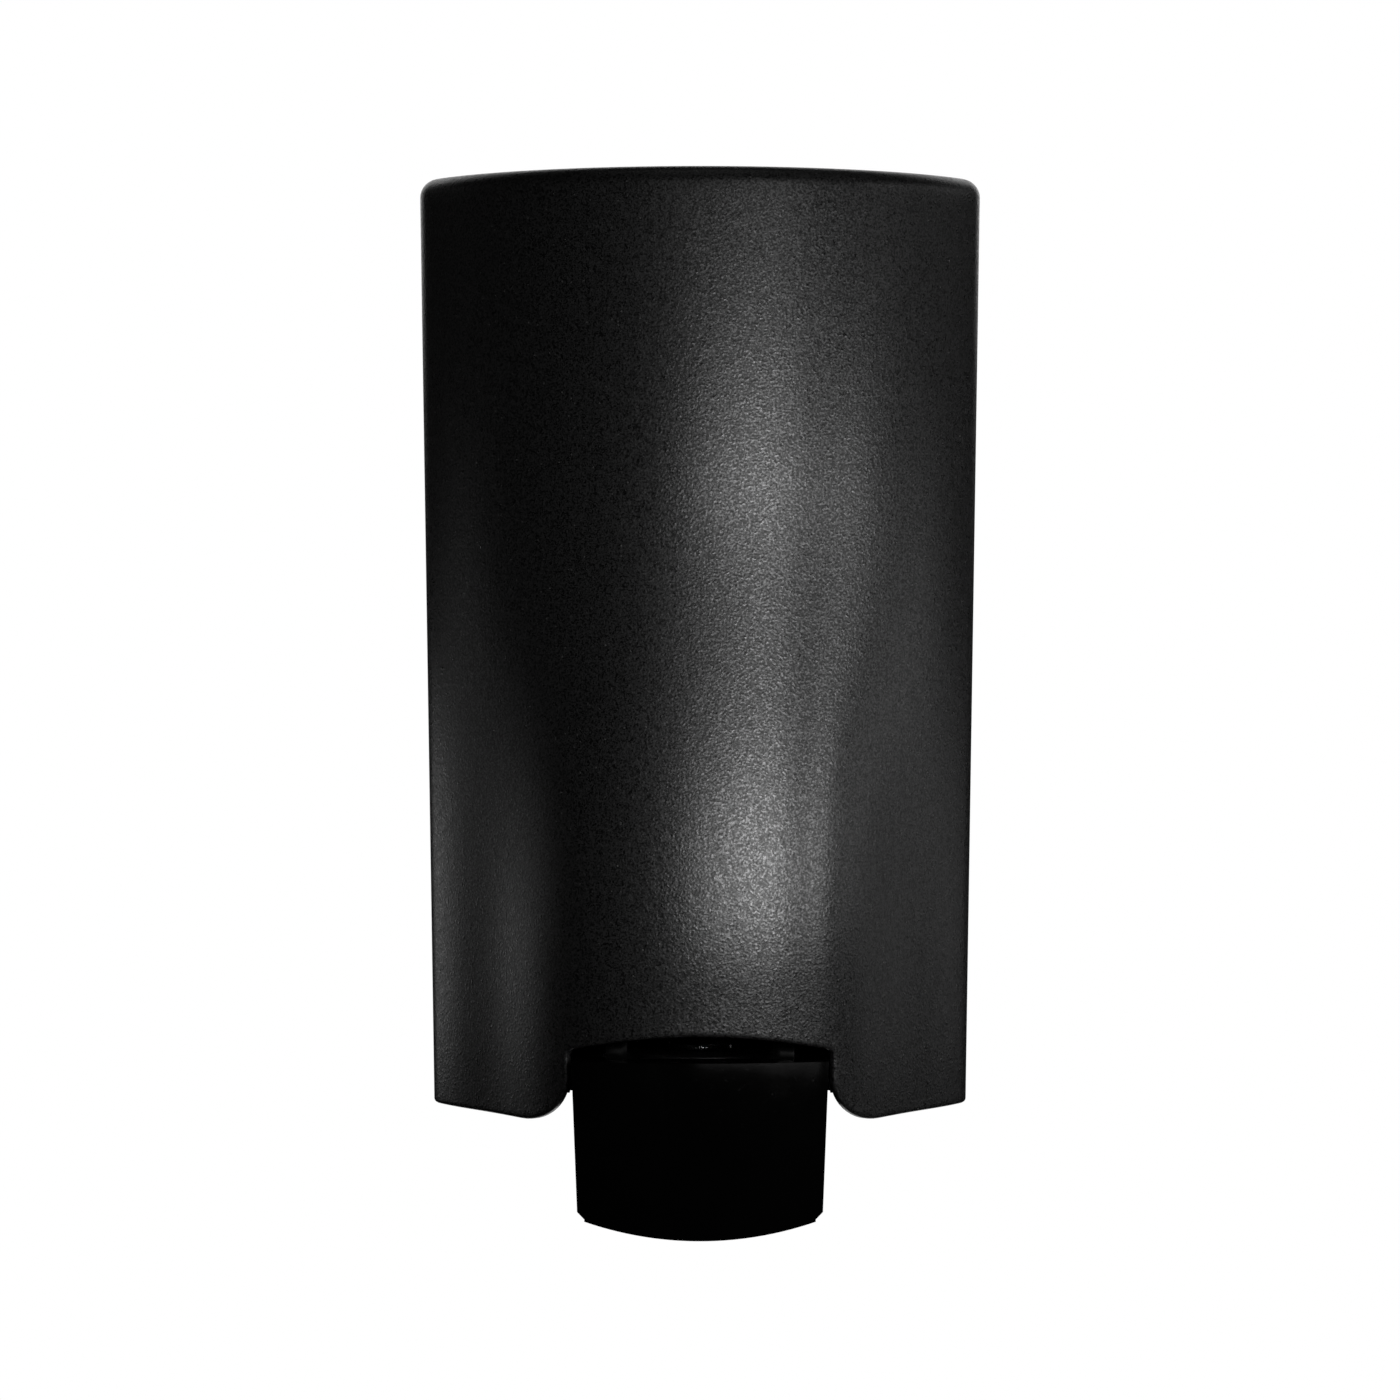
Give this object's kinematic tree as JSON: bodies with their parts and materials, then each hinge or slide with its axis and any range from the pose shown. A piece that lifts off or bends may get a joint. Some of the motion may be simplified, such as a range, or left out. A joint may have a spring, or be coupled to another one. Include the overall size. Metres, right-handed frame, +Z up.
{
  "type": "wall-mounted soap dispenser",
  "caption": "Wall-mounted soap dispenser: a curved lift-up cover over a reservoir and pump, worked by a push lever in an arched notch at its lower front.",
  "frame": {"origin": "on the wall face, at the middle of the four wall screws", "axes": "+X to the right seen from the front, +Y into the wall, +Z up"},
  "size_m": [0.1198, 0.108, 0.221],
  "materials": {
    "cover_plastic": "near-black textured plastic with fine pale flecks",
    "lever_plastic": "deep black, smooth",
    "gloss_black": "black, glossy",
    "black_plastic": "black, satin",
    "grey_plastic": "dark grey, moulded grain",
    "white_plastic": "natural white, smooth",
    "clear_plastic": "milky translucent",
    "seal_rubber": "soft red silicone",
    "black_rubber": "soft black",
    "steel": "stainless, brushed",
    "spring_steel": "drawn wire",
    "polished_steel": "polished",
    "plated": "nickel plated"
  },
  "bodies": {
    "wall_unit": {"back_plate": "grey_plastic", "pump_carrier": "gloss_black", "carrier_screws": "steel", "lever_bracket": "gloss_black", "bracket_screw": "steel", "base_panel": "black_plastic", "panel_screws": "steel", "reservoir": "clear_plastic", "reservoir_floor": "clear_plastic", "reservoir_top": "clear_plastic", "neck_seal": "seal_rubber", "pump_nut": "black_plastic", "pump_cylinder": "white_plastic", "ball_cage": "white_plastic", "return_spring": "spring_steel", "lever_pin": "steel", "lock_nut": "plated"},
    "cover": {"front_cover": "cover_plastic", "hinge_bar": "black_plastic", "hinge_screws": "steel", "hinge_pins": "steel"},
    "lever": {"push_lever": "lever_plastic"},
    "plunger": {"pump_stem": "black_plastic", "piston_seal": "black_rubber", "nozzle": "white_plastic", "outlet_valve": "seal_rubber"},
    "lock": {"lock_barrel": "plated", "lock_cam": "steel", "cam_screw": "steel"},
    "lid": {"reservoir_lid": "black_plastic", "lid_gasket": "seal_rubber"},
    "ball": {"inlet_ball": "polished_steel"}
  },
  "joints": [
    {"name": "cover_hinge", "type": "hinge", "parent": "wall_unit", "child": "cover", "pos_m": [0, -0.01, 0.0765], "axis": [-1, 0, 0], "range_deg": [0, 88]},
    {"name": "lever_push", "type": "hinge", "parent": "wall_unit", "child": "lever", "pos_m": [0, -0.088, -0.1045], "axis": [1, 0, 0], "range_deg": [0, 16], "stiffness_Nm_per_rad": 0.47, "springref_deg": -17.19},
    {"name": "plunger_stroke", "type": "slide", "parent": "wall_unit", "child": "plunger", "axis": [0, 0, 1], "range_m": [0, 0.00785], "deforming": ["return_spring"]},
    {"name": "lock_turn", "type": "hinge", "parent": "wall_unit", "child": "lock", "pos_m": [0.04, -0.029, -0.0965], "axis": [0, 0, 1], "range_deg": [0, 90]},
    {"name": "lid_lift", "type": "slide", "parent": "wall_unit", "child": "lid", "axis": [0, 0, 1], "range_m": [0, 0.0115]},
    {"name": "ball_lift", "type": "slide", "parent": "wall_unit", "child": "ball", "axis": [0, 0, 1], "range_m": [0, 0.0015]}
  ],
  "couplings": [
    {"joint": "plunger_stroke", "follows": "lever_push", "m_per_rad": 0.028}
  ]
}
